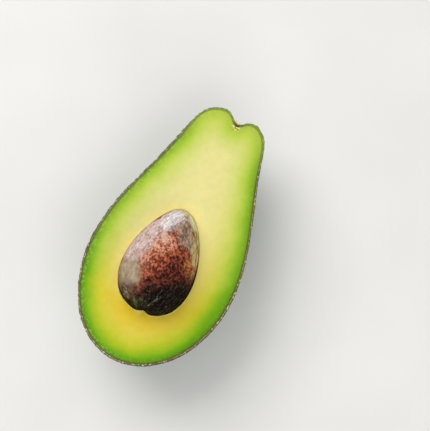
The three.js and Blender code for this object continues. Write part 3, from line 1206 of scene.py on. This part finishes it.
# %% Seed finish: tones in turn
TONES = [
    ("salmon", flecked, (108, 52, 36), (182, 110, 84), (226, 172, 144), 0.85),
    ("maroon", flecked, (26, 8, 6), (64, 22, 18), (124, 62, 50), 0.9),
    ("mauve", crumpled, (148, 116, 108), (194, 168, 160), (222, 206, 200), 0.92),
    ("beige", 0.4 * tooth + 0.6 * stringy, (138, 119, 95), (160, 142, 117), (184, 167, 143), 1.0),
    ("smooth_spot", stringy, (196, 160, 138), (214, 180, 160), (228, 198, 178), 0.9),
    ("strand", crumpled, (100, 78, 64), (148, 126, 106), (192, 176, 156), 0.9),
    ("white", crumpled, (164, 152, 148), (208, 200, 198), (244, 242, 244), 0.96),
    ("crest", crumpled, (128, 116, 90), (174, 162, 134), (208, 200, 172), 0.9),
    ("khaki", stringy, (146, 118, 70), (194, 170, 110), (220, 202, 152), 0.9),
    ("cream", stringy, (202, 192, 140), (224, 216, 166), (238, 232, 188), 1.0),
    ("ochre", flecked, (130, 66, 24), (180, 106, 46), (208, 140, 72), 0.85),
    ("tan", flecked, (104, 82, 50), (158, 130, 80), (192, 166, 118), 0.8),
    ("plum", flecked, (22, 5, 3), (62, 22, 14), (112, 54, 40), 1.0),
    ("foot", flecked, (20, 10, 6), (46, 28, 16), (84, 60, 38), 0.85),
    ("dark", 0.6 * flecked + 0.4 * stringy, (3, 1, 1), (10, 5, 4), (50, 38, 32), 1.0),
    ("dusty", flecked, (52, 38, 28), (104, 86, 66), (150, 132, 110), 0.75),
    ("olive", stringy, (16, 18, 8), (44, 46, 22), (104, 106, 66), 0.8),
    ("spot", flecked, (92, 58, 18), (120, 80, 30), (150, 104, 50), 0.9),
    ("scratch", stringy, (96, 92, 76), (120, 116, 98), (146, 142, 124), 0.6),
]
colour = three_tones(flecked, (50, 16, 12), (124, 54, 34), (188, 106, 76))
for channel, value, low, middle, high, weight in TONES:
    share = coat.channel(channel) * weight
    colour = coat.mix(share, colour, three_tones(value, low, middle, high))
# painted highlight: short pale strokes that stand for glints on the dark base
painted_glint_strokes = coat.smooth(coat.noise(0.6, 2, stretch=(1, 3, 1)), 0.57, 0.7) * coat.channel("dark")
colour = coat.mix(painted_glint_strokes * 0.34, colour, tone(116, 106, 94))
coat.wire("Base Color", colour)
coat.wire("Roughness", 0.4 + 0.2 * tooth + 0.25 * coat.channel("dark"))
coat.bump(tooth, 0.05)
coat.report()

# %% [markdown]
# ## The seed
# Relief goes on last. Fibres stand up where the coat is papery, flecks elsewhere, wrinkles in
# the dark base, and worn patches are even. Then all channels go into the mesh by name.

# %% The seed
papery = np.clip(white + strand + 0.5 * mauve, 0, 1)
even = np.clip(1 - beige - smooth_spot - cream, 0, 1)
relief = 0.16 * (fibre - 0.5) * papery * even + 0.12 * (fleck - 0.5) * even * (1 - 0.6 * papery)
relief = relief + 0.25 * (wrinkle - 0.5) * dark + 0.2 * soft_noise(body, 8.0, 71) + 0.12 * scratch
body = body + facing * (relief - 0.12)[..., None]
body[:, -1] = body[:, 0]
patches = {
    "fleck": fleck, "fibre": fibre, "salmon": salmon, "maroon": maroon, "mauve": mauve,
    "beige": beige, "smooth_spot": smooth_spot, "white": white, "strand": strand,
    "cream": cream, "crest": crest, "khaki": khaki, "ochre": ochre, "tan": tan,
    "plum": plum, "foot": foot, "dark": dark, "dusty": dusty, "olive": olive,
    "spot": spot, "scratch": scratch,
}
seed_values = np.stack(list(patches.values()), axis=-1)
seed_grids = [(body, seed_values, False, 0)]
piece("seed_in_coat", seed_grids, list(patches), [coat.material], "seed")

# %% [markdown]
# ## The stub of the stem
# What is left of the stem is a woody button, halved by the knife. Its bark is brown and its cut
# is pale wood, both streaked by a fine noise drawn out upwards.

# %% Stub finish
bark = Finish("woody_stub", Roughness=0.75)
ring = bark.noise(0.3, 4, stretch=(1, 1, 3))
bark_stops = [(0.3, tone(40, 26, 12)), (0.5, tone(86, 60, 28)), (0.7, tone(140, 108, 58))]
wood_stops = [(0.3, tone(150, 124, 66)), (0.5, tone(216, 204, 144)), (0.7, tone(240, 234, 186))]
bark_tone = bark.ramp(ring, bark_stops)
wood_tone = bark.ramp(ring, wood_stops)
bark.wire("Base Color", bark.mix(bark.channel("cut"), bark_tone, wood_tone))
bark.bump(ring, 0.08)
bark.report()

# %% [markdown]
# ## The stub's layers
# The button sits on the wall of the dimple. Its underside follows the wall and its worn top
# thins towards the rim, so both are the same polar grid at two heights.

# %% Layers of the stub
STUB_RADIUS = 1.5
STUB_THICKNESS = 0.8
STUB_SHIFT = -0.4
STUB_GAP = 0.1
STUB_WEAR = 0.45
STUB_ROWS = 20
STUB_TURNS = 48
WALL_STEPS = 8


def stub_layer(share, turn, raised):
    """A disc of the dimple's wall, lifted square to its slope: the gap, and then a thickness
    that falls off with the square of the distance from the middle."""
    x = DIMPLE_OFFSET + STUB_SHIFT + STUB_RADIUS * share * np.cos(turn)
    z = -STUB_RADIUS * share * np.sin(turn)
    surface = FRUIT_LENGTH - CROWN_SLOPE * x - dimple(x, z)
    across = (x - DIMPLE_OFFSET) / DIMPLE_RADIUS**2
    steep = 2 * dimple(x, z) * np.hypot(across, z / DIMPLE_SPREAD**2)
    lift = STUB_GAP + raised * STUB_THICKNESS * (1 - STUB_WEAR * share**2)
    rough = 0.08 * rough_noise(np.stack([x, surface, z], axis=-1), 0.6, 81) * raised
    return np.stack([x, surface + (lift + rough) * np.hypot(1, steep), z], axis=-1)


v, turn = across_grid(STUB_ROWS, STUB_TURNS)
under = stub_layer(v, turn, 0.0)
over = stub_layer(v, turn, 1.0)
for grid in (under, over):
    grid[:, [0, -1], 2] = 0
print("the stub is", round(float((over - under)[0, 0, 1]), 2), "mm thick in the middle")

# %% [markdown]
# ## The stub
# A wall joins the rims of the two layers, and two strips close the cut. Only the strips are
# pale wood.

# %% The stub
outer_wall = np.linspace(over[-1], under[-1], WALL_STEPS + 1)
right_cut = np.linspace(over[:, 0], under[:, 0], WALL_STEPS + 1)
left_cut = np.linspace(over[:, -1], under[:, -1], WALL_STEPS + 1)


def stub_value(grid, inner):
    """One value for a whole grid: 1 on the pale wood of the cut and 0 on bark."""
    return np.full(grid.shape[:2] + (1,), inner)


piece(
    "stem_button",
    [
        (under, stub_value(under, 0.0), True, 0),
        (over, stub_value(over, 0.0), False, 0),
        (outer_wall, stub_value(outer_wall, 0.0), False, 0),
        (right_cut, stub_value(right_cut, 1.0), True, 0),
        (left_cut, stub_value(left_cut, 1.0), False, 0),
    ],
    ["cut"],
    [bark.material],
    "stem_stub",
)

# %% [markdown]
# ## The floor
# The half lies on a plain pale floor, one square so wide that the camera never sees its edge.

# %% Floor
FLOOR_REACH = 30.0
paper = Finish("pale_floor", Roughness=0.9)
paper_stops = [(0.3, tone(226, 225, 222)), (0.7, tone(232, 231, 228))]
paper.wire("Base Color", paper.ramp(paper.noise(60, 2), paper_stops))
floor_mesh = bpy.data.meshes.new("floor")
corners = [
    (-FLOOR_REACH, -FLOOR_REACH, 0),
    (FLOOR_REACH, -FLOOR_REACH, 0),
    (FLOOR_REACH, FLOOR_REACH, 0),
    (-FLOOR_REACH, FLOOR_REACH, 0),
]
floor_mesh.from_pydata(corners, [], [(0, 1, 2, 3)])
floor_mesh.materials.append(paper.material)
floor_object = bpy.data.objects.new("floor", floor_mesh)
bpy.context.scene.collection.objects.link(floor_object)
paper.report()

# %% [markdown]
# ## Two soft lamps
# Soft light comes from wide lamps. A warm window, high on the stem's side and to the left,
# gives the seed its bright flank, and a weaker white reflector opposite opens its shadow.

# %% Lamps
LAMP_SIZE = 1.0
LAMP_TARGET = Vector((0, 0, 0.02))
WINDOW_PLACE = (-0.7, 0.4, 0.8)
WINDOW_WATTS = 9.8
REFLECTOR_PLACE = (0.6, -0.7, 0.6)
REFLECTOR_WATTS = 5.2


def soft_lamp(name, place, watts, colour):
    """A square lamp that faces the half."""
    lamp = bpy.data.lights.new(name, "AREA")
    lamp.size = LAMP_SIZE
    lamp.energy = watts
    lamp.color = colour
    holder = bpy.data.objects.new(name, lamp)
    holder.location = place
    towards = LAMP_TARGET - Vector(place)
    holder.rotation_euler = towards.to_track_quat("-Z", "Y").to_euler()
    bpy.context.scene.collection.objects.link(holder)


soft_lamp("window", WINDOW_PLACE, WINDOW_WATTS, (1.0, 0.985, 0.96))
soft_lamp("reflector", REFLECTOR_PLACE, REFLECTOR_WATTS, (1.0, 1.0, 1.0))
print("lamps of", WINDOW_WATTS, "and", REFLECTOR_WATTS, "watts")

# %% [markdown]
# ## The room
# A pale world fills the shadows, as the walls of a bright room do. The Standard view shows
# tones as they were mixed, where the usual view would grey them.

# %% World
WORLD_STRENGTH = 0.53
world = bpy.data.worlds.new("pale_room")
bpy.context.scene.world = world
bpy.context.scene.view_settings.view_transform = "Standard"
world.use_nodes = True
background = world.node_tree.nodes["Background"]
background.inputs["Color"].default_value = (0.94, 0.95, 0.96, 1)
background.inputs["Strength"].default_value = WORLD_STRENGTH
print("world strength", WORLD_STRENGTH)

# %% [markdown]
# ## The camera
# The camera looks steeply down on the cut face from the blossom end and a little to the right,
# at a place just beyond the seed's tip. A long lens keeps the fruit's slimness true.

# %% Camera
AZIMUTH = math.radians(26)
ELEVATION = math.radians(76)
DISTANCE = 0.4205
LENS = 85
target = Vector((0.00992, 0.013574, cut_height * MM))
back_vector = Vector((
    math.sin(AZIMUTH) * math.cos(ELEVATION),
    -math.cos(AZIMUTH) * math.cos(ELEVATION),
    math.sin(ELEVATION),
))
camera = bpy.data.objects.new("camera", bpy.data.cameras.new("camera"))
camera.data.lens = LENS
camera.data.sensor_width = 36
camera.data.clip_start = 0.01
camera.location = target + DISTANCE * back_vector
camera.rotation_euler = (-back_vector).to_track_quat("-Z", "Y").to_euler()
bpy.context.scene.collection.objects.link(camera)
bpy.context.scene.camera = camera
print("the camera stands at", [round(c, 3) for c in camera.location], "m")

# %% [markdown]
